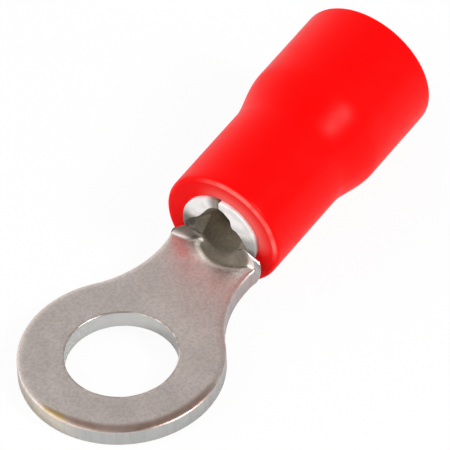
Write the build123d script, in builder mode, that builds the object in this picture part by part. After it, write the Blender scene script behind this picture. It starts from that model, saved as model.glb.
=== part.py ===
from build123d import *
from math import cos, sin, sqrt
import os

# Insulated ring terminal for an M4 stud and a stranded wire of 0.5 to 1.5 square millimetres.
# The origin is the middle of the stud hole, on the underside of the tongue. X runs from the
# ring to the mouth where the wire goes in, and Z points from the seat to the screw's head.

# Tongue: a flat ring and its neck, punched from copper sheet. The punch leaves a soft die
# roll along the upper edge of the outline and a fine bevel round the hole.
sheet = 0.75
ring_width = 7.85
stud_hole = 4.3
neck_width = 3.72
neck_blend = 4.6
neck_straight = 0.1
die_roll = 0.2
hole_bevel = 0.06

# Groove: where the flat neck is pressed down and curled up into the barrel. Its lip is bowed,
# and the foremost point of the lip lies a little aside of the middle.
groove_length = 1.06
lip_width = 0.6
lip_radius = 1.25
lip_aside = 0.45

# Slots that part the sides of the neck from the barrel's rim
slot_width = 0.26
slot_depth = 0.3

# Barrel: the same sheet, rolled along X until its edges meet in a butt seam on top. The
# edges are rounded outside, which leaves a small V along the seam, and drawn open inside at
# the rim. The barrel lies a little lower than the tongue, and the groove's faces end a hair
# inside its wall.
barrel_bore = 1.8
barrel_drop = 0.32
barrel_length = 5.15
seam_gap = 0.05
seam_round = 0.16
seam_mouth_width = 0.7
seam_mouth_height = 0.36
seam_mouth_length = 0.4
mouth_roll = 0.12
wire_bevel = 0.12
tuck = 0.01

# Shallow rings pressed inside the barrel, which grip the strands
grip_count = 3
grip_pitch = 1.1
grip_width = 0.4
grip_depth = 0.16

# Sleeve: a tube of soft plastic, narrow over the barrel and wide over the wire's insulation.
# Inside, the barrel's end meets a throat, and a funnel leads the strands into it.
barrel_reveal = 0.15
sleeve_length = 10.35
sleeve_front_width = 5.0
sleeve_rear_width = 5.76
shoulder_start = 4.5
shoulder_length = 2.1
front_round = 0.13
rear_round = 0.15
rear_bevel = 0.12
seat_clearance = 0.01
throat_clearance = 0.16
throat_land = 0.3
funnel_length = 1.3
insulation_bore = 4.3

# Extra length of a cutting tool beyond the face that it cuts
overrun = 0.5

ring_radius = ring_width / 2
half_neck = neck_width / 2
blend_x = sqrt((ring_radius + neck_blend) ** 2 - (half_neck + neck_blend) ** 2)
groove_start = blend_x + neck_straight
barrel_front = groove_start + groove_length
barrel_rear = barrel_front + barrel_length
barrel_inside = barrel_bore / 2
barrel_outside = barrel_inside + sheet
barrel_middle = barrel_inside + sheet / 2
axis_height = barrel_outside - barrel_drop
sleeve_front = barrel_front + barrel_reveal
sleeve_rear = sleeve_front + sleeve_length


def ease(share):
    """Smooth step from 0 to 1, held at its ends"""
    share = min(max(share, 0), 1)
    return share * share * (3 - 2 * share)


def sunk(x, across, curl):
    """How far the sheet lies below the tongue: pressed behind the lip, and all over once rolled"""
    lip = groove_start + (across + lip_aside) ** 2 / (2 * lip_radius)
    pressed = ease((x - lip) / lip_width)
    return barrel_drop * (pressed * (1 - curl) + curl)


def bent(x, across, height, curl):
    """Where a point of the flat sheet lies once it is pressed and rolled; height is from mid-sheet"""
    middle = sheet / 2 - sunk(x, across, curl)
    turn = across / barrel_middle * curl
    if not turn:
        return (across, middle + height)
    radius = barrel_middle / curl
    return ((radius - height) * sin(turn), middle + radius - (radius - height) * cos(turn))


def sheet_section(x, half_width, curl):
    """Closed section of the bent sheet across X, with the die roll on its two upper corners"""
    half_spread_shares = [0.1, 0.2, 0.3, 0.4, 0.5, 0.6, 0.7, 0.8, 0.9, 1]
    spread_shares = [-share for share in reversed(half_spread_shares)] + [0] + half_spread_shares
    top = sheet / 2 - tuck * curl
    corner = die_roll * (1 - sqrt(2) / 2)
    flat_top = half_width - die_roll
    with BuildSketch(Plane(origin=(x, 0, 0), x_dir=(0, 1, 0), z_dir=(1, 0, 0))) as section:
        with BuildLine():
            Spline(*[bent(x, half_width * share, -top, curl) for share in spread_shares])
            Spline(*[bent(x, flat_top * share, top, curl) for share in spread_shares])
            for side in (-1, 1):
                foot = bent(x, side * half_width, -top, curl)
                low = bent(x, side * half_width, top - die_roll, curl)
                middle = bent(x, side * (half_width - corner), top - corner, curl)
                high = bent(x, side * flat_top, top, curl)
                Line(foot, low)
                ThreePointArc(low, middle, high)
        make_face()
    return section.sketch


def groove_sections():
    """Sections from the flat neck to a little way inside the barrel's wall"""
    station_shares = [0, 0.1, 0.2, 0.3, 0.4, 0.5, 0.6, 0.7, 0.8, 0.9, 1, 1.1, 1.2]
    curl_start_share = 0.45
    sections = []
    for share in station_shares:
        curl = ease((share - curl_start_share) / (1 - curl_start_share))
        x = groove_start + (barrel_front - groove_start) * share
        sections.append(sheet_section(x, half_neck, curl))
    return sections


# The terminal is one piece of sheet: tongue, groove and barrel
ring_share = ring_radius / (ring_radius + neck_blend)
ring_leave = (blend_x * ring_share, (half_neck + neck_blend) * ring_share)
barrel_plane = Plane(origin=(barrel_front, 0, axis_height), x_dir=(0, 1, 0), z_dir=(1, 0, 0))

with BuildPart() as ring_terminal_body:
    with BuildSketch(Plane.XY):
        with BuildLine():
            neck_side = Line((groove_start, half_neck), (blend_x, half_neck))
            blend = TangentArc(neck_side @ 1, ring_leave, tangent=neck_side % 1)
            ThreePointArc(blend @ 1, (-ring_radius, 0), (ring_leave[0], -ring_leave[1]))
            mirror(neck_side, about=Plane.XZ)
            mirror(blend, about=Plane.XZ)
            Line((groove_start, half_neck), (groove_start, -half_neck))
        make_face()
    extrude(amount=sheet)
    upper_edges = ring_terminal_body.edges().group_by(Axis.Z)[-1].sort_by(Axis.X)[:-1]
    fillet(upper_edges, die_roll)
    with Locations((0, 0, sheet)):
        Hole(stud_hole / 2)
    hole_edge = ring_terminal_body.faces().sort_by(Axis.Z)[-1].edges().filter_by(GeomType.CIRCLE)
    chamfer(hole_edge.sort_by(SortBy.DISTANCE)[0], hole_bevel)

    loft(sections=groove_sections())

    with BuildSketch(barrel_plane):
        Circle(barrel_outside)
        Circle(barrel_inside, mode=Mode.SUBTRACT)
        with Locations((0, barrel_middle)):
            Rectangle(seam_gap, sheet + overrun, mode=Mode.SUBTRACT)
    extrude(amount=barrel_length)
    fillet(ring_terminal_body.edges().filter_by(Axis.X).sort_by(Axis.Z)[-2:], seam_round)

    bore_edges = ring_terminal_body.edges().filter_by(
        lambda edge: edge.geom_type == GeomType.CIRCLE and abs(edge.radius - barrel_inside) < tuck / 2
    )
    fillet(bore_edges.sort_by(Axis.X)[0], mouth_roll)
    chamfer(bore_edges.sort_by(Axis.X)[-1], wire_bevel)

    # The slots' floors are radial, at the angle where that part of the blank's width ends up
    slot_floor = (half_neck - slot_depth) / barrel_middle
    slot_reach = barrel_outside + overrun
    for side in (-1, 1):
        with BuildSketch(barrel_plane):
            with BuildLine():
                Polyline(
                    (0, 0),
                    (side * slot_reach * sin(slot_floor), -slot_reach * cos(slot_floor)),
                    (side * slot_reach, slot_reach),
                    close=True,
                )
            make_face()
        extrude(amount=-slot_width, mode=Mode.SUBTRACT)

    # The seam opens towards the rim in a three-sided mouth that runs out along the bore
    with BuildSketch(barrel_plane):
        with BuildLine():
            Polyline(
                (-seam_mouth_width / 2, barrel_inside - mouth_roll),
                (seam_mouth_width / 2, barrel_inside - mouth_roll),
                (0, barrel_inside + seam_mouth_height),
                close=True,
            )
        make_face()
    with BuildSketch(barrel_plane.offset(seam_mouth_length)):
        with BuildLine():
            Polyline(
                (-seam_gap / 2, barrel_inside - mouth_roll),
                (seam_gap / 2, barrel_inside - mouth_roll),
                (0, barrel_inside - mouth_roll / 2),
                close=True,
            )
        make_face()
    loft(mode=Mode.SUBTRACT)

    first_grip = (barrel_length - grip_pitch * (grip_count - 1) - grip_width) / 2
    for i in range(grip_count):
        with BuildSketch(barrel_plane.offset(first_grip + grip_pitch * i)):
            Circle(barrel_inside + grip_depth)
        extrude(amount=grip_width, mode=Mode.SUBTRACT)

# The sleeve is one turned shape: everything about it is round
front_radius = sleeve_front_width / 2
rear_radius = sleeve_rear_width / 2
seat_radius = barrel_outside + seat_clearance
throat_radius = barrel_inside + throat_clearance
insulation_radius = insulation_bore / 2
shoulder_x = sleeve_front + shoulder_start
sleeve_plane = Plane(origin=(0, 0, axis_height), x_dir=(1, 0, 0), z_dir=(0, -1, 0))

with BuildPart() as insulating_sleeve:
    with BuildSketch(sleeve_plane):
        with BuildLine():
            Polyline(
                (shoulder_x, front_radius),
                (sleeve_front, front_radius),
                (sleeve_front, seat_radius),
                (barrel_rear, seat_radius),
                (barrel_rear, throat_radius),
                (barrel_rear + throat_land, throat_radius),
                (barrel_rear + throat_land + funnel_length, insulation_radius),
                (sleeve_rear, insulation_radius),
                (sleeve_rear, rear_radius),
                (shoulder_x + shoulder_length, rear_radius),
            )
            Spline(
                (shoulder_x, front_radius),
                (shoulder_x + shoulder_length, rear_radius),
                tangents=((1, 0), (1, 0)),
            )
        make_face()
    revolve(axis=Axis((0, 0, axis_height), (1, 0, 0)))
    front_rings = insulating_sleeve.edges().filter_by(GeomType.CIRCLE).group_by(Axis.X)[0]
    rear_rings = insulating_sleeve.edges().filter_by(GeomType.CIRCLE).group_by(Axis.X)[-1]
    fillet(front_rings.sort_by(SortBy.RADIUS)[-1], front_round)
    fillet(rear_rings.sort_by(SortBy.RADIUS)[-1], rear_round)
    chamfer(rear_rings.sort_by(SortBy.RADIUS)[0], rear_bevel)

os.makedirs("parts", exist_ok=True)
for node, label in (
    (ring_terminal_body, "ring_terminal_body"),
    (insulating_sleeve, "insulating_sleeve"),
):
    node.part.label = label
    export_step(node.part, f"parts/{label}.step")
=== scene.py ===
# %% [markdown]
# # A ring terminal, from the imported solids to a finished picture
# The real object is an insulated ring terminal of about 21 mm. One piece is tin-plated copper
# sheet: a flat ring for a stud, a narrow neck and a little barrel rolled for the bare strands.
# The other piece is a red tube of soft plastic over the barrel. Nothing on it moves, so both
# pieces ride on the one body, called root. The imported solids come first, because they fix
# where everything is and how large it may be.

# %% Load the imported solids
import bmesh
import bpy
import math
import numpy as np
from functools import partial
from mathutils import Matrix, Vector
from mathutils.geometry import delaunay_2d_cdt


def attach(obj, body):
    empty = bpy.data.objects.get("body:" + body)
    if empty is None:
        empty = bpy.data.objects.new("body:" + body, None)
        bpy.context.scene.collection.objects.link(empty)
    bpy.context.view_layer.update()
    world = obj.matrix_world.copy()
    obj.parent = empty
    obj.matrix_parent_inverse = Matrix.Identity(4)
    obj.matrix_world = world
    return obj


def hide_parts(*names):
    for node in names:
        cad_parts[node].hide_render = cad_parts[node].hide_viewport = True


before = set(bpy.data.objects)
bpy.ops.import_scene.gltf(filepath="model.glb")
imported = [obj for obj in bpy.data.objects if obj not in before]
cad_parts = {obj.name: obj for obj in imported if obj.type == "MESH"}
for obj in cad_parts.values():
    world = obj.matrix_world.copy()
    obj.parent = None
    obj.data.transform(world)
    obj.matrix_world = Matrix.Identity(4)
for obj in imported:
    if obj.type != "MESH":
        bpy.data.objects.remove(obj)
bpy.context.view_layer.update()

from types import SimpleNamespace

MM = 0.001

# %% [markdown]
# ## The camera
# The photograph was taken from above and in front of the ring, from far off with a long lens:
# the outlines of the ring, the hole and the sleeve hardly narrow with distance. Its place and
# its three axes were worked out from those outlines, so they are written here as numbers.

# %% Camera at the photograph's place
CAMERA_PLACE = Vector((-144.003, -106.952, 190.726)) * MM
CAMERA_RIGHT = Vector((0.54639809, -0.83673036, -0.03648891))
CAMERA_DOWN = Vector((-0.61296251, -0.3698257, -0.69821624))
CAMERA_FORWARD = Vector((0.57072418, 0.40387035, -0.71495639))
PHOTO_WIDTH = 450
PHOTO_FOCUS = 6994
SENSOR = 36

camera_data = bpy.data.cameras.new("camera")
camera_data.sensor_width = SENSOR
camera_data.lens = SENSOR * PHOTO_FOCUS / PHOTO_WIDTH
camera_data.clip_start = 10 * MM
camera_data.clip_end = 5
camera = bpy.data.objects.new("camera", camera_data)
bpy.context.scene.collection.objects.link(camera)
turn = Matrix((CAMERA_RIGHT, -CAMERA_DOWN, -CAMERA_FORWARD)).transposed()
camera.matrix_world = Matrix.Translation(CAMERA_PLACE) @ turn.to_4x4()
bpy.context.scene.camera = camera
print("lens", round(camera_data.lens, 1), "mm, distance", round(CAMERA_PLACE.length, 3), "m")

# %% [markdown]
# ## Helpers for node trees
# Materials and Geometry Nodes are both trees of nodes. One small function adds any node, sets
# it up and links it, so that each tree below reads like a recipe. The kinds of node that come
# back again and again have a short name in a table, which says what sockets take their values.

# %% Add a node, and turn a hex colour linear
# short name: type, settings, the sockets that take the values in turn, and the result's socket
SHORT_NAMES = {
    "mix": ("ShaderNodeMix", {"data_type": "RGBA"}, (0, 6, 7), 2),
    "ease": ("ShaderNodeMapRange", {"interpolation_type": "SMOOTHSTEP"}, (0, 1, 2, 3, 4), 0),
    "noise": ("ShaderNodeTexNoise", {}, ("Vector", "Scale", "Detail"), 0),
    "stretch": ("ShaderNodeVectorMath", {"operation": "MULTIPLY"}, (0, 1), 0),
}
SUMS = (
    "ADD", "SUBTRACT", "MULTIPLY", "MULTIPLY_ADD", "DIVIDE", "MODULO", "FLOOR", "POWER", "SQRT",
    "SINE", "COSINE", "ABSOLUTE", "SIGN", "MAXIMUM", "GREATER_THAN",
)
for operation in SUMS:
    SHORT_NAMES[operation] = ("ShaderNodeMath", {"operation": operation}, (0, 1, 2), 0)


def add(tree, kind, *values, **settings):
    """Add a node: by its type with a dictionary of sockets, or by a short name with values

    A value may be another node's socket, which is then linked. It gives back the node, or for a
    short name the socket that holds the result.
    """
    kind, usual, sockets, result = SHORT_NAMES.get(kind, (kind, {}, None, None))
    node = tree.nodes.new(kind)
    for key, value in {**usual, **settings}.items():
        setattr(node, key, value)
    inputs = dict(zip(sockets, values)) if sockets else dict(*values)
    for key, value in inputs.items():
        if isinstance(value, bpy.types.NodeSocket):
            tree.links.new(value, node.inputs[key])
        else:
            node.inputs[key].default_value = value
    return node.outputs[result] if sockets else node


def linear(hex_colour):
    """An sRGB hex colour as linear red, green, blue and alpha"""
    parts = [int(hex_colour[i:i + 2], 16) / 255 for i in (1, 3, 5)]
    return tuple(p / 12.92 if p <= 0.04045 else ((p + 0.055) / 1.055) ** 2.4 for p in parts) + (1,)


print("mid grey #808080 is", round(linear("#808080")[0], 3), "in linear light")

# %% Start a Geometry Nodes tree and run it on an object
def new_tree(name, sizes):
    """A Geometry Nodes tree with one geometry in and out, and a named input for each size"""
    tree = bpy.data.node_groups.new(name, "GeometryNodeTree")
    for direction in ("INPUT", "OUTPUT"):
        tree.interface.new_socket("Geometry", in_out=direction, socket_type="NodeSocketGeometry")
    for label, (kind, value) in sizes.items():
        socket = tree.interface.new_socket(label, in_out="INPUT", socket_type=kind)
        if value is not None:
            socket.default_value = value
    return tree


def set_input(modifier, label, value):
    """Set a modifier's input by the socket's identifier"""
    for item in modifier.node_group.interface.items_tree:
        if item.name == label and item.in_out == "INPUT":
            modifier[item.identifier] = value
            return
    raise KeyError(label)


def grow(obj, tree, values):
    """Run the tree on the object and keep its result as a plain mesh"""
    modifier = obj.modifiers.new(tree.name, "NODES")
    modifier.node_group = tree
    for label, value in values.items():
        set_input(modifier, label, value)
    evaluated = obj.evaluated_get(bpy.context.evaluated_depsgraph_get())
    mesh = bpy.data.meshes.new_from_object(evaluated)
    obj.modifiers.remove(modifier)
    obj.data = mesh
    mesh.name = obj.name
    print(obj.name, "has", len(mesh.vertices), "points and", len(mesh.polygons), "faces")


def new_object(name, points, faces, edges=()):
    """An object at the origin whose mesh holds these points, in metres"""
    mesh = bpy.data.meshes.new(name)
    mesh.from_pydata([tuple(p) for p in points], list(edges), [tuple(f) for f in faces])
    obj = bpy.data.objects.new(name, mesh)
    bpy.context.scene.collection.objects.link(obj)
    return obj


# %% Start a material, and fill a colour ramp
def empty_tree(owner):
    """The empty node tree of a new material or world"""
    owner.use_nodes = True
    owner.node_tree.nodes.clear()
    return owner.node_tree


def set_stops(ramp, stops):
    """Give a colour ramp its stops, each a position and a linear colour, and return its result"""
    elements = ramp.color_ramp.elements
    while len(elements) < len(stops):
        elements.new(0.5)
    for stop, (position, colour) in zip(elements, stops):
        stop.position = position
        stop.color = colour
    return ramp.outputs[0]


# %% [markdown]
# ## Sizes
# The sizes are those of the solids, in millimetres. X runs from the ring to the mouth where the
# wire goes in, Z is up, and the origin is the middle of the stud hole on the underside. A few
# fine forms, such as rounds and slots, follow the photograph more closely than the solids do.

# %% Sizes of the sheet and the sleeve
SHEET = 0.75
RING_RADIUS = 3.925
HOLE_RADIUS = 2.15
HALF_NECK = 1.86
NECK_BLEND = 4.6
# where the blend's curve meets the straight neck
BLEND_X = math.sqrt((RING_RADIUS + NECK_BLEND) ** 2 - (HALF_NECK + NECK_BLEND) ** 2)
GROOVE_START = BLEND_X + 0.1
GROOVE_LENGTH = 1.06
BARREL_FRONT = GROOVE_START + GROOVE_LENGTH
BARREL_REAR = BARREL_FRONT + 5.15
BARREL_INSIDE = 0.9
BARREL_MIDDLE = BARREL_INSIDE + SHEET / 2
BARREL_DROP = 0.32
# the real seam is pressed shut, so its gap is a hair; its rounded edges leave a V above it
HALF_SEAM = 0.005
HALF_BLANK = math.pi * BARREL_MIDDLE - HALF_SEAM
AXIS_HEIGHT = BARREL_INSIDE + SHEET - BARREL_DROP
SLEEVE_FRONT = BARREL_FRONT + 0.15
SLEEVE_REAR = SLEEVE_FRONT + 10.35
print("barrel from", round(BARREL_FRONT, 2), "to", round(BARREL_REAR, 2), "mm")

# %% [markdown]
# ## The sleeve
# The sleeve is moulded or drawn as one round tube, so it is a turned shape: one section, swept
# once round the axis. A spin would do it, but a Geometry Nodes tree says the rule itself and
# keeps the sizes as named inputs. The section is a closed line of points: out along the
# outside, round the rear lip, and back through the wide entry, the funnel and the seat.

# %% The sleeve's section
def corner(x, r, radius, start, points=7):
    """Points of a quarter circle about (x, r), from the angle start, going clockwise"""
    angles = [math.radians(start - 90 * i / (points - 1)) for i in range(points)]
    return [(x + radius * math.cos(a), r + radius * math.sin(a)) for a in angles]


def run(start, end, spacing):
    """Evenly spaced points after start, up to but without end"""
    count = max(1, round(math.dist(start, end) / spacing))
    shares = [i / count for i in range(1, count)]
    across, up = end[0] - start[0], end[1] - start[1]
    return [(start[0] + across * s, start[1] + up * s) for s in shares]


FRONT_RADIUS, REAR_RADIUS = 2.5, 2.88
FRONT_ROUND, REAR_ROUND, REAR_BEVEL = 0.2, 0.15, 0.12
SEAT_RADIUS, THROAT_RADIUS, ENTRY_RADIUS = 1.66, 1.06, 2.15
SHOULDER_START, SHOULDER_LENGTH = SLEEVE_FRONT + 4.5, 2.1
FUNNEL_START, FUNNEL_END = BARREL_REAR + 0.3, BARREL_REAR + 1.6
# the seat's front edge is broken by a hair
LIP = 0.012
SHOULDER_STEPS = 28


def sleeve_section():
    """The closed section as (x, radius) points; the last number of a run is their spacing"""
    outside = corner(SLEEVE_FRONT + FRONT_ROUND, FRONT_RADIUS - FRONT_ROUND, FRONT_ROUND, 180)
    outside += run(outside[-1], (SHOULDER_START, FRONT_RADIUS), 0.25)
    for i in range(SHOULDER_STEPS + 1):
        share = i / SHOULDER_STEPS
        rise = share * share * (3 - 2 * share)
        radius = FRONT_RADIUS + (REAR_RADIUS - FRONT_RADIUS) * rise
        outside.append((SHOULDER_START + SHOULDER_LENGTH * share, radius))
    lip = corner(SLEEVE_REAR - REAR_ROUND, REAR_RADIUS - REAR_ROUND, REAR_ROUND, 90)
    outside += run(outside[-1], lip[0], 0.25) + lip
    inside = corner(SLEEVE_REAR - REAR_BEVEL, ENTRY_RADIUS + REAR_BEVEL, REAR_BEVEL, 0)
    inside += run(inside[-1], (FUNNEL_END, ENTRY_RADIUS), 0.3) + [(FUNNEL_END, ENTRY_RADIUS)]
    inside += run((FUNNEL_END, ENTRY_RADIUS), (FUNNEL_START, THROAT_RADIUS), 0.15)
    inside += [(FUNNEL_START, THROAT_RADIUS), (BARREL_REAR, THROAT_RADIUS)]
    inside += run((BARREL_REAR, THROAT_RADIUS), (BARREL_REAR, SEAT_RADIUS), 0.15)
    inside += [(BARREL_REAR, SEAT_RADIUS)]
    inside += run((BARREL_REAR, SEAT_RADIUS), (SLEEVE_FRONT + LIP, SEAT_RADIUS), 0.4)
    inside += [(SLEEVE_FRONT + LIP, SEAT_RADIUS), (SLEEVE_FRONT, SEAT_RADIUS + LIP)]
    inside += run((SLEEVE_FRONT, SEAT_RADIUS + LIP), outside[0], 0.08)
    return outside + inside


section = sleeve_section()
count = len(section)
sleeve = new_object(
    "sleeve", [(x * MM, 0, r * MM) for x, r in section], [],
    [(i, (i + 1) % count) for i in range(count)],
)
print("the sleeve's section has", count, "points")

# %% [markdown]
# The tree makes a grid with one row for each point of the section and one column for each step
# round the axis, looks up the row's point, and places it. Soft plastic is never quite round,
# so the outside also sinks by a few micrometres here and there, never outwards.

# %% A tree that turns a section round an axis
def turning_tree():
    """Section points in, a closed turned surface out"""
    tree = new_tree("turned sleeve", {
        "Axis height": ("NodeSocketFloat", 0),
        "Steps round": ("NodeSocketInt", 64),
        "Section points": ("NodeSocketInt", 8),
        "Unevenness": ("NodeSocketFloat", 0),
        "Outside from": ("NodeSocketFloat", 0),
        "Seed": ("NodeSocketFloat", 0),
        "Material": ("NodeSocketMaterial", None),
    })
    put = partial(add, tree)
    given = put("NodeGroupInput").outputs

    # one row of the grid for each point of the section, and one column for each step round
    columns = put("ADD", given["Steps round"], 1)
    rows = put("ADD", given["Section points"], 1)
    grid = put("GeometryNodeMeshGrid", {"Vertices X": rows, "Vertices Y": columns}).outputs[0]
    index = put("GeometryNodeInputIndex").outputs[0]
    row = put("FLOOR", put("DIVIDE", put("ADD", index, 0.5), columns))
    column = put("SUBTRACT", index, put("MULTIPLY", row, columns))
    # past its last point the section starts again, which closes it
    wrapped = put("MODULO", put("ADD", row, 0.01), given["Section points"])
    look_up = put("GeometryNodeSampleIndex", {
        "Geometry": given["Geometry"],
        "Value": put("GeometryNodeInputPosition").outputs[0],
        "Index": put("FLOOR", wrapped),
    }, data_type="FLOAT_VECTOR", domain="POINT")
    place = put("ShaderNodeSeparateXYZ", {0: look_up.outputs[0]}).outputs
    angle = put("MULTIPLY", put("DIVIDE", column, given["Steps round"]), math.tau)
    side, up = put("SINE", angle), put("COSINE", angle)

    # the skin sinks in patches, about 5 mm long and a few round the tube
    where = put("ShaderNodeCombineXYZ", {
        "X": put("MULTIPLY", place["X"], 220),
        "Y": put("MULTIPLY", side, 0.9),
        "Z": put("ADD", put("MULTIPLY", up, 0.9), given["Seed"]),
    }).outputs[0]
    noise = put("noise", where, 1.0, 1.0)
    is_outside = put("GREATER_THAN", place["Z"], given["Outside from"])
    sink = put("MULTIPLY", put("MULTIPLY", noise, given["Unevenness"]), is_outside)
    radius = put("SUBTRACT", place["Z"], sink)
    position = put("ShaderNodeCombineXYZ", {
        "X": place["X"],
        "Y": put("MULTIPLY", radius, side),
        "Z": put("ADD", put("MULTIPLY", radius, up), given["Axis height"]),
    }).outputs[0]
    turned = put("GeometryNodeSetPosition", {"Geometry": grid, "Position": position})
    closed = put("GeometryNodeMergeByDistance", {
        "Geometry": turned.outputs[0], "Distance": 1e-7,
    }).outputs[0]
    smooth = put("GeometryNodeSetShadeSmooth", {"Geometry": closed}).outputs[0]
    real = put("GeometryNodeRealizeInstances", {"Geometry": smooth}).outputs[0]
    painted = put("GeometryNodeSetMaterial", {"Geometry": real, "Material": given["Material"]})
    put("NodeGroupOutput", {0: painted.outputs[0]})
    return tree


# %% [markdown]
# The export and the light both need to know which side of a face is out. A closed mesh has a
# volume, and its sign tells whether the faces point outwards as a whole.

# %% Turn the faces of a closed mesh outwards
SHARP_ANGLE = math.radians(38)


def face_outwards(obj):
    """Turn all faces of a closed mesh outwards, then mark its sharp edges"""
    work = bmesh.new()
    work.from_mesh(obj.data)
    bmesh.ops.recalc_face_normals(work, faces=work.faces)
    volume = work.calc_volume(signed=True)
    if volume < 0:
        bmesh.ops.reverse_faces(work, faces=work.faces)
    open_edges = sum(not edge.is_manifold for edge in work.edges)
    work.to_mesh(obj.data)
    work.free()
    obj.data.set_sharp_from_angle(angle=SHARP_ANGLE)
    print(obj.name, "volume", round(abs(volume) / MM ** 3, 2), "mm3, open edges", open_edges)


# %% [markdown]
# ## Red soft PVC
# The sleeve is soft PVC, coloured right through and moulded. It has a smooth skin with a dull
# shine that never shows a sharp reflection. Its colour is even, with a painted pale sheen on the
# upper front face round the barrel and painted highlights along its front edge, and the skin
# carries fine draw lines along the tube, a faint mottle, and small scuffs from lying loose in a
# bag.

# %% The sleeve's material
def pvc_material():
    """Moulded red PVC"""
    material = bpy.data.materials.new("red_pvc_moulded")
    put = partial(add, empty_tree(material))
    place = put("ShaderNodeTexCoord").outputs["Object"]
    in_mm = put("ShaderNodeVectorMath", {0: place, "Scale": 1 / MM}, operation="SCALE").outputs[0]
    x, y, z = put("ShaderNodeSeparateXYZ", {0: in_mm}).outputs
    above = put("SUBTRACT", z, AXIS_HEIGHT)
    radius = put("SQRT", put("ADD", put("POWER", y, 2), put("POWER", above, 2)))

    # an even red, with a faint mottle of about 2 mm
    mottle = put("ShaderNodeValToRGB", {0: put("noise", in_mm, 0.45, 3.0)})
    colour = set_stops(mottle, ((0.3, linear("#fa0303")), (0.7, linear("#ff0606"))))
    # a painted highlight: a pale sheen on the upper front face round the barrel, kept off the
    # shaded lower part
    front_face = put("ease", x, SLEEVE_FRONT + 0.06, SLEEVE_FRONT)
    sheen_side = put("MULTIPLY", put("ease", above, -0.6, 0.3), put("ease", y, 1.2, -0.2))
    near_barrel = put("ease", radius, 2.3, SEAT_RADIUS, 0.1, 0.7)
    painted_front_sheen = put("MULTIPLY", put("MULTIPLY", front_face, sheen_side), near_barrel)
    colour = put("mix", painted_front_sheen, colour, linear("#ff7a74"))
    # and a painted highlight in patches along the rounded front edge
    round_start = FRONT_RADIUS - FRONT_ROUND
    edge_near = put("ease", x, SLEEVE_FRONT + 0.12, SLEEVE_FRONT + 0.03)
    edge_far = put("ease", radius, round_start - 0.02, round_start + 0.05)
    patchy = put("ease", put("noise", in_mm, 1.3), 0.35, 0.6, 0.35, 0.75)
    edge = put("MULTIPLY", put("MULTIPLY", edge_near, edge_far), patchy)
    colour = put("mix", put("MULTIPLY", edge, sheen_side), colour, linear("#ff8078"))

    # a shine that is duller in scuffed patches of about 1 mm
    rough = put("ease", put("noise", in_mm, 1.1, 4.0), 0.35, 0.75, 0.31, 0.39)
    # draw lines along the tube, and a skin as fine as paper; both are drawn about 0.1 mm wide,
    # which is coarser than real, because finer ones wouldn't show
    along = put("stretch", in_mm, (0.12, 1, 1))
    height = put("ADD", put("noise", along, 9.0), put("noise", in_mm, 14.0))
    bump = put("ShaderNodeBump", {"Height": height, "Strength": 0.25, "Distance": 0.004 * MM})
    shader = put("ShaderNodeBsdfPrincipled", {
        "Base Color": colour, "Roughness": rough, "Normal": bump.outputs[0],
        "IOR": 1.53, "Specular IOR Level": 0.06, "Subsurface Weight": 0.08,
        "Subsurface Radius": (1.0, 0.05, 0.05), "Subsurface Scale": 0.3 * MM,
    })
    put("ShaderNodeOutputMaterial", {"Surface": shader.outputs[0]})
    return material


STEPS_ROUND = 192
UNEVENNESS = 0.012
grow(sleeve, turning_tree(), {
    "Axis height": AXIS_HEIGHT * MM, "Steps round": STEPS_ROUND, "Section points": count,
    "Unevenness": UNEVENNESS * MM, "Outside from": 2.3 * MM, "Seed": 4.0,
    "Material": pvc_material(),
})
face_outwards(sleeve)

# %% [markdown]
# ## The terminal's blank
# The metal piece begins as a flat blank, punched from copper sheet. The punch leaves its
# marks: the upper edge of the outline is drawn down in a soft roll, the wall below it is cut
# straight, and the lower edge is nearly sharp. So the blank is built flat first, as its
# outline with rows of points down the wall, and an even filling of triangles between.
# A narrow slot on each side parts the neck from the barrel. The left one stands open and the
# right one is nearly pressed shut, so one function makes either half, given its slot's width.

# %% Half of the blank's outline
def arc(centre, radius, start, end, spacing):
    """Points on an arc, from the angle start up to but without end, in degrees"""
    count = max(2, round(abs(math.radians(end - start)) * radius / spacing))
    angles = [math.radians(start + (end - start) * i / count) for i in range(count)]
    return [(centre[0] + radius * math.cos(a), centre[1] + radius * math.sin(a)) for a in angles]


LEFT_SLOT, RIGHT_SLOT, SLOT_DEPTH = 0.18, 0.12, 0.3
SLOT_CORNER, SEAM_CORNER, REAR_CORNER = 0.1, 0.05, 0.12
FINE_UNTIL = BARREL_FRONT + 0.7


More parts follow.
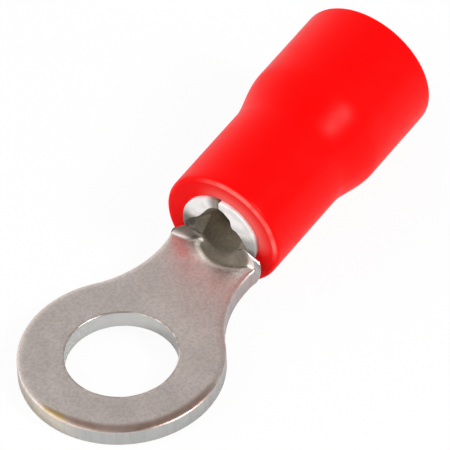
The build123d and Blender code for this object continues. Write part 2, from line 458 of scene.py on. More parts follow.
def half_outline(slot_width):
    """The +Y half of the blank's outline, clockwise from the ring's tip to the rear edge

    The last number of an arc or a run is the spacing of its points.
    """
    leave = math.degrees(math.atan2(HALF_NECK + NECK_BLEND, BLEND_X))
    points = arc((0, 0), RING_RADIUS, 180, leave, 0.08)
    points += arc((BLEND_X, HALF_NECK + NECK_BLEND), NECK_BLEND, 180 + leave, 270, 0.08)
    start = (BLEND_X, HALF_NECK)
    turn = (BARREL_FRONT - slot_width - SLOT_CORNER, HALF_NECK)
    points += [start] + run(start, turn, 0.05)
    points += arc((turn[0], HALF_NECK - SLOT_CORNER), SLOT_CORNER, 90, 0, 0.02)
    slot_radius = slot_width / 2
    bottom = (BARREL_FRONT - slot_radius, HALF_NECK - SLOT_DEPTH + slot_radius)
    points += [(BARREL_FRONT - slot_width, HALF_NECK - SLOT_CORNER)]
    points += arc(bottom, slot_radius, 180, 360, 0.02)
    foot = (BARREL_FRONT, bottom[1])
    seam = (BARREL_FRONT, HALF_BLANK - SEAM_CORNER)
    points += [foot] + run(foot, seam, 0.04)
    points += arc((BARREL_FRONT + SEAM_CORNER, seam[1]), SEAM_CORNER, 180, 90, 0.015)
    top = (BARREL_FRONT + SEAM_CORNER, HALF_BLANK)
    end = (BARREL_REAR - REAR_CORNER, HALF_BLANK)
    front = (FINE_UNTIL, HALF_BLANK)
    points += [top] + run(top, front, 0.04) + [front] + run(front, end, 0.15)
    points += arc((end[0], HALF_BLANK - REAR_CORNER), REAR_CORNER, 90, 0, 0.03)
    low = (BARREL_REAR, HALF_BLANK - REAR_CORNER)
    points += [low] + run(low, (BARREL_REAR, 0), 0.1)
    return points


left, right = half_outline(LEFT_SLOT), half_outline(RIGHT_SLOT)
outline = np.array(left + [(BARREL_REAR, 0.0)] + [(x, -y) for x, y in reversed(right[1:])])
print("the outline has", len(outline), "points and spans", np.ptp(outline, axis=0).round(2), "mm")

# %% [markdown]
# Each point of the outline gets its inward direction, and how wide and deep the punch's roll
# is there. The roll is widest round the ring and small along the barrel. The barrel's rim is
# drawn in and worn along its inner edge, more on the left than on the right, and that follows
# no rule, so two tables give the depth against the angle round the barrel. At 0 degrees is the
# middle of the groove, and at 180 the seam.

# %% Rows of points down the cut wall
def inward(points):
    """Unit directions into a closed outline that runs clockwise"""
    along = np.roll(points, -1, axis=0) - np.roll(points, 1, axis=0)
    along /= np.linalg.norm(along, axis=1)[:, None]
    return np.stack([along[:, 1], -along[:, 0]], axis=1)


def blend(x, start, end):
    """Smooth step from 0 at start to 1 at end"""
    share = np.clip((x - start) / (end - start), 0, 1)
    return share * share * (3 - 2 * share)


ROLL_WIDTH, ROLL_DEPTH = 0.3, 0.12
RIM_WIDTH, RIM_DEPTH = 0.04, 0.035
REAR_WIDTH = 0.1
BURR_ROUND, SEAM_ROUND = 0.035, 0.15
HOLE_STEPS, HOLE_WIDTH, HOLE_DEPTH, HOLE_BURR = 240, 0.05, 0.04, 0.03
ROLL_ROWS, HOLE_ROLL_ROWS, BURR_ROWS = 8, 5, 4
WORN_LENGTH = 0.12
RIM_ANGLE = (60, 76, 84, 90, 100, 110, 120, 130, 140, 150, 160, 170, 180)
RIM_LEFT = (0, 0.6, 0.62, 0.5, 0.3, 0.12, 0.06, 0.06, 0.09, 0.16, 0.25, 0.33, 0.38)
RIM_RIGHT = (0, 0.3, 0.26, 0.18, 0.09, 0.03, -0.02, -0.13, -0.08, 0.12, 0.2, 0.31, 0.38)


def top_height(points):
    """Height of the blank's upper face: level, but for the rim's drawn and worn inner edge"""
    angle = np.degrees(np.abs(points[:, 1]) / BARREL_MIDDLE)
    left, right = np.interp(angle, RIM_ANGLE, RIM_LEFT), np.interp(angle, RIM_ANGLE, RIM_RIGHT)
    depth = np.where(points[:, 1] > 0, left, right)
    behind = points[:, 0] - BARREL_FRONT
    length = np.where(behind > 0, np.maximum(WORN_LENGTH, 1.2 * np.abs(depth)), -WORN_LENGTH)
    fade = 1 - behind / length
    return SHEET / 2 - depth * np.clip(fade, 0, 1)


# %% How wide and deep the roll is at each point
barrel_share = blend(outline[:, 0], BLEND_X - 0.1, BARREL_FRONT - 0.15)
rear_share = blend(outline[:, 0], BARREL_REAR - 0.4, BARREL_REAR - 0.1)
rim_width = RIM_WIDTH + (REAR_WIDTH - RIM_WIDTH) * rear_share
roll_width = ROLL_WIDTH + (rim_width - ROLL_WIDTH) * barrel_share
roll_depth = ROLL_DEPTH + (RIM_DEPTH - ROLL_DEPTH) * barrel_share
roll_depth += (REAR_WIDTH - RIM_DEPTH) * rear_share
on_seam = np.abs(outline[:, 1]) > HALF_BLANK - SEAM_CORNER
on_seam &= outline[:, 0] > BARREL_FRONT - 0.01
low_round = np.where(on_seam & (outline[:, 0] < BARREL_REAR - 1), SEAM_ROUND, BURR_ROUND)
print("roll from", round(roll_depth.min(), 3), "to", round(roll_depth.max(), 3), "mm deep")

# %% The rows themselves
def wall_rows(points, normals, width, depth, low, upper_steps):
    """Closed rows of (x, y, height) from the top's flat down the wall to the underside's flat"""
    rows = []
    for i in range(upper_steps + 1):
        a = math.radians(90 * (1 - i / upper_steps))
        place = points + normals * (width * (1 - math.cos(a)))[:, None]
        rows.append(np.column_stack([place, top_height(place) - depth * (1 - math.sin(a))]))
    for i in range(BURR_ROWS + 1):
        a = math.radians(90 * i / BURR_ROWS)
        place = points + normals * (low * (1 - math.cos(a)))[:, None]
        rows.append(np.column_stack([place, -SHEET / 2 + low * (1 - math.sin(a))]))
    return rows


outer_rows = wall_rows(
    outline, inward(outline), roll_width, roll_depth, low_round, ROLL_ROWS)
angles = np.linspace(0, math.tau, HOLE_STEPS, endpoint=False)
hole = HOLE_RADIUS * np.column_stack([np.cos(angles), np.sin(angles)])
even = np.ones(HOLE_STEPS)
hole_rows = wall_rows(
    hole, inward(hole), HOLE_WIDTH * even, HOLE_DEPTH * even, HOLE_BURR * even, HOLE_ROLL_ROWS)
print("rows round the outline:", len(outer_rows), "and round the hole:", len(hole_rows))

# %% [markdown]
# The flat top and underside are filled with points on a grid: wide apart where the sheet stays
# flat, close together in the groove, and in lines along the grip rings of the barrel. A
# constrained Delaunay triangulation joins them to the rows round the edges.

# %% Grid points, close together where the sheet bends
GRIPS = [BARREL_FRONT + 1.275 + 1.1 * i for i in range(3)]
GRIP_WIDTH, GRIP_DEPTH, GRIP_SLOPE = 0.4, 0.15, 0.04
# in front of FLAT_UNTIL the sheet stays flat, and from DENSE_FROM on it bends
FLAT_UNTIL, DENSE_FROM = 4.6, 5.45
DENSE_UNTIL, SPREAD = BARREL_FRONT + 0.32, 4.2


def fill_points():
    """Grid points over the whole blank, denser where it is going to bend"""
    zones = [
        (np.arange(-3.8, FLAT_UNTIL, 0.3), 0.3),
        (np.arange(FLAT_UNTIL, DENSE_FROM, 0.12), 0.1),
        (np.arange(DENSE_FROM, DENSE_UNTIL, 0.035), 0.035),
        (np.arange(DENSE_UNTIL, BARREL_FRONT + 0.75, 0.06), 0.05),
    ]
    grips = [g + s for g in GRIPS for s in (0, GRIP_SLOPE, GRIP_WIDTH - GRIP_SLOPE, GRIP_WIDTH)]
    plain = [x for x in np.arange(BARREL_FRONT + 0.85, BARREL_REAR, 0.2)
             if min(abs(x - g) for g in grips) > 0.06]
    zones.append((np.array(sorted(plain + grips)), 0.09))
    parts = []
    for xs, step in zones:
        ys = np.arange(-SPREAD, SPREAD + step / 2, step) + step * 0.3
        parts.append(np.stack(np.meshgrid(xs, ys), axis=-1).reshape(-1, 2))
    return np.concatenate(parts)


# %% What lies inside a loop, and how far from it
def inside(points, loop):
    """Which points lie inside a closed loop"""
    x, y = points[:, 0][:, None], points[:, 1][:, None]
    x0, y0 = loop[:, 0], loop[:, 1]
    x1, y1 = np.roll(x0, -1), np.roll(y0, -1)
    crosses = (y0 > y) != (y1 > y)
    with np.errstate(divide="ignore", invalid="ignore"):
        left = x < (x1 - x0) * (y - y0) / (y1 - y0) + x0
    return (crosses & left).sum(axis=1) % 2 == 1


def gap_to(points, loop):
    """Distance from each point to the nearest point of a loop"""
    best = np.full(len(points), np.inf)
    for start in range(0, len(loop), 64):
        part = loop[start:start + 64]
        far = np.linalg.norm(points[:, None, :] - part[None, :, :], axis=2).min(axis=1)
        best = np.minimum(best, far)
    return best


# %% Join the points by triangles
def fill(outer, inner):
    """Grid points between two loops, and the triangles that join all of them"""
    points = fill_points()
    points = points[inside(points, outer) & ~inside(points, inner)]
    x = points[:, 0]
    room = np.where(x < FLAT_UNTIL, 0.16, np.where(x < DENSE_FROM, 0.06, 0.022))
    points = points[(gap_to(points, outer) > room) & (gap_to(points, inner) > room)]
    given = np.concatenate([outer, inner, points])
    m, n = len(outer), len(inner)
    edges = [(i, (i + 1) % m) for i in range(m)]
    edges += [(m + i, m + (i + 1) % n) for i in range(n)]
    made = delaunay_2d_cdt([Vector(p) for p in given], edges, [], 0, 1e-6)
    origin = [ids[0] for ids in made[3]]
    triangles = np.array([[origin[i] for i in face] for face in made[2]])
    middle = given[triangles].mean(axis=1)
    keep = inside(middle, outer) & ~inside(middle, inner)
    triangles = triangles[keep]
    a, b, c = given[triangles[:, 0]], given[triangles[:, 1]], given[triangles[:, 2]]
    (ux, uy), (vx, vy) = (b - a).T, (c - a).T
    area = ux * vy - uy * vx
    triangles[area < 0] = triangles[area < 0][:, ::-1]
    return points, triangles


# %% [markdown]
# The rows are joined by bands of four-sided faces, and the flat faces close the blank above and
# below. The grip rings are pressed into the upper face, which ends up inside the barrel.

# %% Gather the blank's points and faces
blank_points, blank_faces = [], []


def add_rows(rows):
    """Join closed rows by bands of four-sided faces; returns where each row starts"""
    starts = []
    for row in rows:
        starts.append(len(blank_points))
        blank_points.extend(row.tolist())
    size = len(rows[0])
    for upper, lower in zip(starts, starts[1:]):
        for i in range(size):
            j = (i + 1) % size
            blank_faces.append((upper + i, upper + j, lower + j, lower + i))
    return starts


outer_starts, hole_starts = add_rows(outer_rows), add_rows(hole_rows)


def add_flat(level, side):
    """Fill the top (side 1) or the underside (side -1) between two rows"""
    outer, inner = outer_rows[level], hole_rows[level]
    points, triangles = fill(outer[:, :2], inner[:, :2])
    first = len(blank_points)
    heights = top_height(points) if side > 0 else np.full(len(points), -SHEET / 2)
    if side > 0:
        for grip in GRIPS:
            x = points[:, 0]
            inside_grip = (x > grip + GRIP_SLOPE / 2) & (x < grip + GRIP_WIDTH - GRIP_SLOPE / 2)
            heights[inside_grip] -= GRIP_DEPTH
    blank_points.extend(np.column_stack([points, heights]).tolist())
    numbers = np.concatenate([
        outer_starts[level] + np.arange(len(outer)),
        hole_starts[level] + np.arange(len(inner)),
        first + np.arange(len(points)),
    ])
    blank_faces.extend(numbers[triangles][:, ::side].tolist())
    print("flat face filled with", len(triangles), "triangles")


add_flat(0, 1)
add_flat(-1, -1)

# %% [markdown]
# The finish needs to know where on the sheet it is, also after the sheet is bent. So the flat
# place of each point is kept as an attribute, with its distance from the punched edge, whether
# it lies on the cut wall, whether it lies on the side that ends up inside the barrel, and how
# far it lies past the bowed lip of the groove.

# %% The flat blank as an object
LIP_WIDTH, LIP_MIDDLE, LIP_BOW = 0.6, -0.45, 0.4
flat = np.array(blank_points)
terminal = new_object("ring_terminal", flat * MM, blank_faces)
cut = np.zeros(len(flat))
# the cut wall runs from the last row of the roll to the first row of the burr
for starts, rows, last_roll in (
    (outer_starts, outer_rows, ROLL_ROWS), (hole_starts, hole_rows, HOLE_ROLL_ROWS),
):
    for level in (last_roll, last_roll + 1):
        cut[starts[level]:starts[level] + len(rows[0])] = 1
gap = gap_to(flat[:, :2], outline)


def keep(name, kind, values):
    """Store one value for each point of the terminal"""
    attribute = terminal.data.attributes.new(name, kind, "POINT")
    attribute.data.foreach_set("vector" if kind == "FLOAT_VECTOR" else "value", values.ravel())


keep("sheet_place", "FLOAT_VECTOR", flat.astype(np.float32))
keep("edge_gap", "FLOAT", gap.astype(np.float32))
keep("cut_wall", "FLOAT", cut.astype(np.float32))
inner = np.zeros(len(flat))
inner[flat[:, 2] > 0] = 1
# the rim's worn edge dips below the middle of the sheet, and still belongs to the inner side
for level in range(ROLL_ROWS - 1):
    inner[outer_starts[level]:outer_starts[level] + len(outline)] = 1
keep("inner_side", "FLOAT", inner.astype(np.float32))
past_lip = flat[:, 0] - GROOVE_START - LIP_BOW * (flat[:, 1] - LIP_MIDDLE) ** 2
keep("past_lip", "FLOAT", past_lip.astype(np.float32))
print("points on the cut wall:", int(cut.sum()))

# %% [markdown]
# ## Pressing and rolling the blank
# A press then shapes the blank in two blows. The first pushes the neck down behind a bowed lip,
# whose foremost point lies a little to the right; the second curls the sheet round the wire's
# axis until its edges meet. Both are one rule: at each place along the terminal, the sheet's
# slope grows with the distance across it, first only near the middle, then all the way. The
# tree walks across the sheet in small steps, adding up where that slope leads, which keeps the
# sheet's width as the real press does. The slots let the neck's corners spring back, so these
# flare outwards by a tenth of a millimetre.

# %% A tree that presses and rolls the sheet
def pressing_tree():
    """A flat blank in, the pressed and rolled terminal out"""
    tree = new_tree("pressed and rolled sheet", {
        "Sheet": ("NodeSocketFloat", 0.001),
        "Barrel middle radius": ("NodeSocketFloat", 0.001),
        "Barrel drop": ("NodeSocketFloat", 0.0),
        "Groove start": ("NodeSocketFloat", 0.0),
        "Groove length": ("NodeSocketFloat", 0.001),
        "Lip width": ("NodeSocketFloat", 0.001),
        "Lip middle": ("NodeSocketFloat", 0.0),
        "Lip bow": ("NodeSocketFloat", 0.0),
        "Curl from": ("NodeSocketFloat", 0.5),
        "Flare": ("NodeSocketFloat", 0.0),
        "Flare from": ("NodeSocketFloat", 0.001),
        "Half neck": ("NodeSocketFloat", 0.001),
        "Steps across": ("NodeSocketInt", 32),
        "Material": ("NodeSocketMaterial", None),
    })
    put = partial(add, tree)
    given = put("NodeGroupInput").outputs
    place = put("GeometryNodeInputPosition").outputs[0]
    x, across, height = put("ShaderNodeSeparateXYZ", {0: place}).outputs

    # how far the sheet is curled and how far it is pressed down, each from 0 to 1
    share = put("DIVIDE", put("SUBTRACT", x, given["Groove start"]), given["Groove length"])
    curl = put("ease", share, given["Curl from"], 1.0)
    off = put("SUBTRACT", across, given["Lip middle"])
    bow = put("MULTIPLY", put("MULTIPLY", off, off), given["Lip bow"])
    beyond = put("SUBTRACT", put("SUBTRACT", x, given["Groove start"]), bow)
    press = put("ease", beyond, 0.0, given["Lip width"], interpolation_type="SMOOTHERSTEP")
    pressed = put("ADD", put("MULTIPLY", press, put("SUBTRACT", 1, curl)), curl)
    drop = put("MULTIPLY", given["Barrel drop"], pressed)

    def slope(place_across):
        """The sheet's angle at a distance from the middle"""
        return put("MULTIPLY", put("DIVIDE", place_across, given["Barrel middle radius"]), curl)

    # walk from the middle to this place, step by step
    step = put("DIVIDE", across, given["Steps across"])
    start = put("GeometryNodeRepeatInput", {"Iterations": given["Steps across"]})
    end = put("GeometryNodeRepeatOutput")
    start.pair_with_output(end)
    end.repeat_items.clear()
    for label in ("Side", "Rise"):
        end.repeat_items.new("FLOAT", label)
    middle = put("MULTIPLY", put("ADD", start.outputs["Iteration"], 0.5), step)
    angle = slope(middle)
    for label, part in (("Side", "COSINE"), ("Rise", "SINE")):
        more = put("MULTIPLY", step, put(part, angle))
        tree.links.new(put("ADD", start.outputs[label], more), end.inputs[label])
    turn = slope(across)
    side = put("SUBTRACT", end.outputs["Side"], put("MULTIPLY", height, put("SINE", turn)))

    # the corners in front of the slots flare outwards
    corner = put("ease", put("ABSOLUTE", across), given["Flare from"], given["Half neck"])
    past_slot = put("ease", share, 0.89, 0.99)
    before = put("MULTIPLY", put("ease", share, 0.2, 0.85), put("SUBTRACT", 1, past_slot))
    flare = put("MULTIPLY", put("MULTIPLY", corner, before), given["Flare"])
    side = put("ADD", side, put("MULTIPLY", flare, put("SIGN", across)))
    rise = put("ADD", end.outputs["Rise"], put("MULTIPLY", height, put("COSINE", turn)))
    base = put("SUBTRACT", put("MULTIPLY", given["Sheet"], 0.5), drop)
    bent = put("ShaderNodeCombineXYZ", {
        "X": x, "Y": side, "Z": put("ADD", rise, base),
    }).outputs[0]
    shaped = put("GeometryNodeSetPosition", {"Geometry": given["Geometry"], "Position": bent})
    smooth = put("GeometryNodeSetShadeSmooth", {"Geometry": shaped.outputs[0]}).outputs[0]
    real = put("GeometryNodeRealizeInstances", {"Geometry": smooth}).outputs[0]
    painted = put("GeometryNodeSetMaterial", {"Geometry": real, "Material": given["Material"]})
    put("NodeGroupOutput", {0: painted.outputs[0]})
    return tree


# %% [markdown]
# ## Tinned copper
# The metal is copper sheet, rolled and then plated with matt tin. The eye sees a satin grey
# with a warm cast, clouded and speckled. The finish also paints light and shade on it: a
# highlight on the lip and rim, and shade along the drawn edge, by the slots and beside the seam.
# One picture can't be wrapped round it, so the finish asks the sheet where it is, and each
# mark is painted there. All its places and widths are in millimetres on the flat sheet.

# %% What the finish asks of the sheet
def read_sheet(put):
    """The stored places and distances, and what several finishes share"""
    at = SimpleNamespace()
    at.sheet = put("ShaderNodeAttribute", attribute_name="sheet_place").outputs["Vector"]
    at.cut, at.past_lip, at.edge_gap, at.inner = (
        put("ShaderNodeAttribute", attribute_name=name).outputs["Fac"]
        for name in ("cut_wall", "past_lip", "edge_gap", "inner_side")
    )
    at.x, at.y = put("ShaderNodeSeparateXYZ", {0: at.sheet}).outputs[:2]
    from_centre = put("ShaderNodeVectorMath", {0: at.sheet}, operation="LENGTH")
    at.from_hole = put("SUBTRACT", from_centre.outputs["Value"], HOLE_RADIUS)
    at.off_barrel = put("SUBTRACT", 1.0, put("ease", at.x, 6.5, 6.7))
    at.spots = put("noise", at.sheet, 2.2, 3.0)
    at.speckle = put("noise", at.sheet, 9.0, 3.0)
    # the barrel's rim: its cut wall, and a strip of its outside
    strip = put("ease", at.x, BARREL_FRONT + 0.4, BARREL_FRONT + 0.3)
    strip = put("MULTIPLY", put("SUBTRACT", 1.0, at.inner), strip)
    on_barrel = put("SUBTRACT", 1.0, at.off_barrel)
    at.on_rim = put("MULTIPLY", put("MAXIMUM", at.cut, strip), on_barrel)
    return at


# %% [markdown]
# Where the punch drew the edge down, the tin is darker brown in patches, mostly on the ring's
# front: partly tarnish where the tin is thin, partly painted shade of the roll. One thin spot near
# the tip is golden, and a faint ring lies round the hole.

# %% The tongue's clouded tin, its tarnish and painted shade
def tongue_colour(put, at):
    """Clouded grey, brown along the drawn edge as tarnish and painted shade"""
    # clouds of 1 to 2 mm, and a speckle of 0.1 mm like the rolled sheet below the tin
    clouds = put("ShaderNodeValToRGB", {0: put("noise", at.sheet, 0.6, 4.0)})
    colour = set_stops(clouds, ((0.3, linear("#d8ccc6")), (0.7, linear("#e7dbd5"))))
    speckled = put("ease", at.speckle, 0.35, 0.7, 0.0, 0.3)
    colour = put("mix", speckled, colour, linear("#a3958c"))

    # brown along the drawn edge, mostly on the ring's front: partly tarnish, partly painted shade
    # of the roll
    toward_front = put("ADD", at.x, at.y)
    reach = put("ease", toward_front, -2.0, -4.4, 0.2, 0.46)
    drawn = put("ease", at.edge_gap, reach, put("MULTIPLY", reach, 0.5))
    drawn = put("MULTIPLY", put("ease", at.edge_gap, 0.0, 0.05), drawn)
    front_side = put("ease", toward_front, -2.4, -4.6, 0.1, 1.0)
    patches = put("ease", put("noise", at.sheet, 0.9, 3.0), 0.36, 0.62, 0.75, 1.0)
    patches = put("MULTIPLY", drawn, put("MULTIPLY", patches, front_side))
    brown_and_painted_shade = put("MULTIPLY", patches, put("MULTIPLY", at.inner, at.off_barrel))
    colour = put("mix", brown_and_painted_shade, colour, linear("#a28578"))

    stain = put("ShaderNodeVectorMath", {0: at.sheet, 1: (-3.6, 0.5, 0.3)}, operation="DISTANCE")
    golden = put("ease", stain.outputs["Value"], 0.85, 0.3, 0.0, 0.85)
    golden = put("MULTIPLY", golden, put("MULTIPLY", drawn, at.inner))
    colour = put("mix", golden, colour, linear("#ba9d68"))
    bored = put("ease", at.spots, 0.4, 0.6, 0.0, 0.6)
    bored = put("MULTIPLY", put("ease", at.from_hole, 0.14, 0.05), bored)
    return put("mix", bored, colour, linear("#847360"))


# %% [markdown]
# The cut walls are torn and rubbed by the punch, so they are colder, with upright marks, and they
# are painted lighter and warmer on the left side, as painted light. The barrel's rim is such a
# wall too, mottled, painted near white as a highlight, with painted shade near the slots and a
# painted shadow of the sleeve beside the seam.

# %% The cut walls and the barrel's rim
def cut_colour(put, at, colour):
    """Colder metal on the cut walls, painted lighter on the left, brighter in the hole, and the
    rim's painted light and shade
    """
    # noise drawn out ten times through the sheet, which gives marks about 0.2 mm apart
    upright = put("stretch", at.sheet, (1, 1, 0.1))
    # painted light: the walls on the left (+Y) side are lighter and warmer than those on the right
    wall_tone_and_side_light = put("mix", put("ease", at.y, 1.2, -1.2), linear("#dbd2c3"), linear("#bdbdbb"))
    marks = put("ease", put("noise", upright, 5.0, 3.0), 0.4, 0.65, 0.0, 0.25)
    wall_tone_and_side_light = put("mix", marks, wall_tone_and_side_light, linear("#9a9b9e"))
    colour = put("mix", at.cut, colour, wall_tone_and_side_light)
    in_hole = put("MULTIPLY", at.cut, put("ease", at.from_hole, 0.4, 0.2))
    colour = put("mix", in_hole, colour, linear("#d0d0ce"))

    # painted highlight: the rim is painted near white, with a grey mottle
    mottle = put("ease", at.spots, 0.45, 0.6, 0.0, 0.28)
    rim_mottle_and_painted_light = put("mix", mottle, linear("#ffffff"), linear("#c4c0b7"))
    # painted shade on the rim's ends by the slots, deeper on the left
    painted_slot_shade = put("ease", put("ABSOLUTE", at.y), 2.6, 2.1)
    painted_slot_shade = put("MULTIPLY", painted_slot_shade, put("ease", at.y, -1.0, 1.0, 0.5, 0.85))
    rim_mottle_and_painted_light = put("mix", painted_slot_shade, rim_mottle_and_painted_light, linear("#544c44"))
    # painted shadow of the sleeve in the V beside the seam
    painted_seam_shade = put("ease", at.y, HALF_BLANK - 0.5, HALF_BLANK - 0.15, 0.0, 0.85)
    rim_mottle_and_painted_light = put("mix", painted_seam_shade, rim_mottle_and_painted_light, linear("#746655"))
    colour = put("mix", at.on_rim, colour, rim_mottle_and_painted_light)

    # painted shade by the left slot, on the cut wall and on the face beside it
    corner = put("MULTIPLY", put("ease", at.x, 6.0, 6.25), put("ease", at.y, 1.0, 1.3))
    corner = put("MULTIPLY", put("MULTIPLY", corner, at.cut), at.off_barrel)
    colour = put("mix", corner, colour, linear("#51483e"))
    painted_wing_shade = put("MULTIPLY", put("ease", at.x, 6.2, 6.4, 0.0, 0.85), put("ease", at.y, 0.95, 1.2))
    painted_wing_shade = put("MULTIPLY", put("MULTIPLY", painted_wing_shade, at.inner), at.off_barrel)
    return put("mix", painted_wing_shade, colour, linear("#62574c"))


# %% [markdown]
# A pale crescent is painted on the bowed lip of the groove: a painted highlight where the sheet
# bends down. Past the lip, down in the groove and inside the barrel, the tin is dull and darker,
# and painted paler deeper inside the barrel, as painted light.

# %% The groove's lip and the inside
def groove_colour(put, at, colour):
    """A painted highlight on the lip, dull tin past it with painted light inside; returns the
    colour and where both are
    """
    # the painted highlight on the lip, stronger on the left
    wider = put("SUBTRACT", at.past_lip, put("ease", at.y, -0.4, 0.7, 0.0, 0.12))
    painted_lip_highlight = put("MULTIPLY", put("ease", at.past_lip, -0.2, 0.02), put("ease", wider, 0.18, 0.05))
    ends = put("MULTIPLY", put("ease", at.y, 1.4, 0.9), put("ease", at.y, -1.7, -1.0))
    painted_lip_highlight = put("MULTIPLY", put("MULTIPLY", painted_lip_highlight, at.inner), ends)
    lip_highlight_share = put("ease", at.y, -1.2, 0.6, 0.3, 0.85)
    lip_highlight_share = put("MULTIPLY", lip_highlight_share, put("ease", at.spots, 0.3, 0.6, 1.0, 0.6))
    painted_lip_highlight = put("MULTIPLY", painted_lip_highlight, lip_highlight_share)
    colour = put("mix", painted_lip_highlight, colour, linear("#f8efde"))

    on_barrel = put("SUBTRACT", 1.0, at.off_barrel)
    dull = put("MAXIMUM", put("ease", at.past_lip, 0.08, 0.22), on_barrel)
    dull = put("MULTIPLY", put("MULTIPLY", at.inner, dull), put("SUBTRACT", 1.0, at.on_rim))
    # painted light: paler deeper inside the barrel, where too little light reaches
    painted_light_deep_in = put("ease", at.x, BARREL_FRONT - 0.1, BARREL_FRONT + 1.0)
    inside_colour = put("mix", painted_light_deep_in, linear("#8c8173"), linear("#c9bda9"))
    speckled = put("ease", at.speckle, 0.35, 0.65, 0.0, 0.3)
    inside_colour = put("mix", speckled, inside_colour, linear("#655c4e"))
    return put("mix", dull, colour, inside_colour), painted_lip_highlight, dull


# %% [markdown]
# The shader is a metal with its default IOR. It is made less metallic where the lip's highlight and
# the rim's light are painted, so their colour shows under any light, and in the dull groove and
# barrel. The rolls that made the sheet leave fine lines across the tongue, which a bump map draws.

# %% The terminal's material, then the press
def tin_material():
    """Matt tin on rolled copper sheet"""
    material = bpy.data.materials.new("matt_tin_on_rolled_copper")
    put = partial(add, empty_tree(material))
    at = read_sheet(put)
    colour = cut_colour(put, at, tongue_colour(put, at))
    colour, painted_lip_highlight, dull = groove_colour(put, at, colour)

    # less metallic where light is painted on the lip and rim, and in the dull inside
    painted_light_and_dull = put("MAXIMUM", painted_lip_highlight, put("MULTIPLY", at.on_rim, 0.9))
    painted_light_and_dull = put("MAXIMUM", put("MULTIPLY", dull, 0.7), painted_light_and_dull)
    rough = put("ease", at.past_lip, -0.9, 0.0, 0.36, 0.27)
    rough = put("ADD", rough, put("MULTIPLY", dull, 0.25))
    rough = put("ADD", rough, put("ease", at.spots, 0.35, 0.65, -0.03, 0.05))
    # rolling lines lie across the tongue; they are drawn some four times coarser than real
    lines = put("noise", put("stretch", at.sheet, (1, 0.06, 1)), 16.0, 3.0)
    height = put("ADD", lines, put("MULTIPLY", at.speckle, 0.6))
    bump = put("ShaderNodeBump", {"Height": height, "Strength": 0.45, "Distance": 0.008 * MM})
    shader = put("ShaderNodeBsdfPrincipled", {
        "Base Color": colour, "Metallic": put("SUBTRACT", 1.0, painted_light_and_dull), "Roughness": rough,
        "Normal": bump.outputs[0],
    })
    put("ShaderNodeOutputMaterial", {"Surface": shader.outputs[0]})
    return material


STEPS_ACROSS, CURL_FROM = 36, 0.5
FLARE, FLARE_FROM = 0.1, 1.3
grow(terminal, pressing_tree(), {
    "Sheet": SHEET * MM, "Barrel middle radius": BARREL_MIDDLE * MM,
    "Barrel drop": BARREL_DROP * MM, "Half neck": HALF_NECK * MM,
    "Groove start": GROOVE_START * MM, "Groove length": GROOVE_LENGTH * MM,
    "Lip width": LIP_WIDTH * MM, "Lip middle": LIP_MIDDLE * MM, "Lip bow": LIP_BOW / MM,
    "Curl from": CURL_FROM, "Flare": FLARE * MM, "Flare from": FLARE_FROM * MM,
    "Steps across": STEPS_ACROSS, "Material": tin_material(),
})
face_outwards(terminal)

# %% [markdown]
# ## The floor
# The photograph has a plain white ground. The terminal rests on the ring's tip and on the rear
# of the sleeve, so the floor leans by that small angle, which lets both touch. The paper is a
# pale grey that lights the metal from below at a plain level. Only to the camera it shows as
# white, through Is Camera Ray, and it keeps a little of its own shading for the shadow.

# %% Floor
FLOOR_REACH, FLOOR_GAP, PAPER_WHITE = 0.6, 0.004 * MM, 0.94
tip = Vector((-RING_RADIUS * MM, 0, 0))
heel = Vector(((SLEEVE_REAR - REAR_ROUND) * MM, 0, (AXIS_HEIGHT - REAR_RADIUS) * MM))
lean = math.atan2(heel.z - tip.z, heel.x - tip.x)
slope = math.tan(lean)
corners = [(x * FLOOR_REACH, y * FLOOR_REACH, slope * (x * FLOOR_REACH - tip.x) - FLOOR_GAP)
           for x, y in ((-1, -1), (1, -1), (1, 1), (-1, 1))]
floor = new_object("floor", corners, [(0, 1, 2, 3)])
paper = bpy.data.materials.new("white_paper")
put = partial(add, empty_tree(paper))
paper_diffuse = put("ShaderNodeBsdfDiffuse", {"Color": linear("#ececec")})
paper_white = put("ShaderNodeEmission", {"Color": (1, 1, 1, 1), "Strength": 1.0})
seen = put("MULTIPLY", put("ShaderNodeLightPath").outputs["Is Camera Ray"], PAPER_WHITE)
paper_mix = put("ShaderNodeMixShader", {
    0: seen, 1: paper_diffuse.outputs[0], 2: paper_white.outputs[0],
})
put("ShaderNodeOutputMaterial", {"Surface": paper_mix.outputs[0]})
floor.data.materials.append(paper)
print("the floor leans by", round(math.degrees(lean), 2), "degrees")
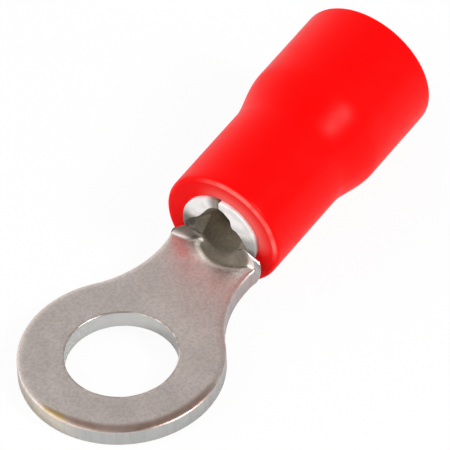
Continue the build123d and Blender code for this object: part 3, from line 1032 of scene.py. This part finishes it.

# %% [markdown]
# ## The light
# The light comes softly from all round, as in a white tent. The tent is brightest near the
# ground and darker overhead, it is lit more from the camera's left than from its right, and it
# has a darker opening on the camera's side, which gives the sheet its grey. Two lamps add some
# direction.

# %% World
TENT = ((0.0, 0.88), (0.25, 0.84), (0.5, 0.65), (0.72, 0.5), (1.0, 0.38))
OPENING = Vector((-0.571, -0.404, 0.715))
OPENING_OUTSIDE, OPENING_INSIDE, OPENING_LEVEL = math.radians(50), math.radians(15), 0.5
SIDE_CHANGE, SIDE_MIDDLE = 0.6, 1.05
world = bpy.data.worlds.new("soft_tent")
bpy.context.scene.world = world
put = partial(add, empty_tree(world))
direction = put("ShaderNodeTexCoord").outputs["Generated"]
height = put("ShaderNodeSeparateXYZ", {0: direction}).outputs["Z"]
sky = set_stops(put("ShaderNodeValToRGB", {0: height}), [
    (position, (level, level, level, 1)) for position, level in TENT
])
toward, leftward = (
    put("ShaderNodeVectorMath", {0: direction, 1: way}, operation="DOT_PRODUCT").outputs["Value"]
    for way in (OPENING, -CAMERA_RIGHT)
)
opening = put("ease", toward, math.cos(OPENING_OUTSIDE), math.cos(OPENING_INSIDE),
              1.0, OPENING_LEVEL)
strength = put("MULTIPLY", opening, put("MULTIPLY_ADD", leftward, SIDE_CHANGE, SIDE_MIDDLE))
tent = put("ShaderNodeBackground", {"Color": sky, "Strength": strength})
ground = put("ShaderNodeBackground", {"Color": (1, 1, 1, 1), "Strength": 1.0})
either = put("ShaderNodeMixShader", {
    0: put("ShaderNodeLightPath").outputs["Is Camera Ray"],
    1: tent.outputs[0], 2: ground.outputs[0],
})
put("ShaderNodeOutputWorld", {"Surface": either.outputs[0]})
print("the tent goes from", TENT[0][1], "at the ground to", TENT[-1][1], "overhead")

# %% Lamps
LAMP_AIM, LAMP_DISTANCE = Vector((6 * MM, 0, MM)), 0.35


def lamp(name, azimuth, elevation, size, power):
    """A square area lamp seen from the terminal in a direction, given in degrees"""
    a, e = math.radians(azimuth), math.radians(elevation)
    toward = Vector((math.cos(a) * math.cos(e), math.sin(a) * math.cos(e), math.sin(e)))
    data = bpy.data.lights.new(name, "AREA")
    data.shape = "SQUARE"
    data.size = size
    data.energy = power
    obj = bpy.data.objects.new(name, data)
    bpy.context.scene.collection.objects.link(obj)
    obj.location = LAMP_AIM + toward * LAMP_DISTANCE
    obj.rotation_euler = (-toward).to_track_quat("-Z", "Y").to_euler()


lamp("key_softbox", azimuth=-83, elevation=41, size=0.1, power=0.84)
lamp("left_softbox", azimuth=145, elevation=46, size=0.3, power=0.36)
bpy.context.scene.view_settings.view_transform = "Standard"

# %% [markdown]
# ## Fitting the pieces to the frame
# Each finished piece rides on the body and stands for its solid, whose part is hidden. A line
# of print names the record's material slot that the piece takes its finish from.

# %% Ride, replace, and print each slot
for piece, node, slot in (
    (terminal, "ring_terminal_body", "tinned_copper"),
    (sleeve, "insulating_sleeve", "red_pvc"),
):
    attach(piece, "root")
    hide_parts(node)
    print(piece.name, "stands for", node, "and takes its finish from", slot)
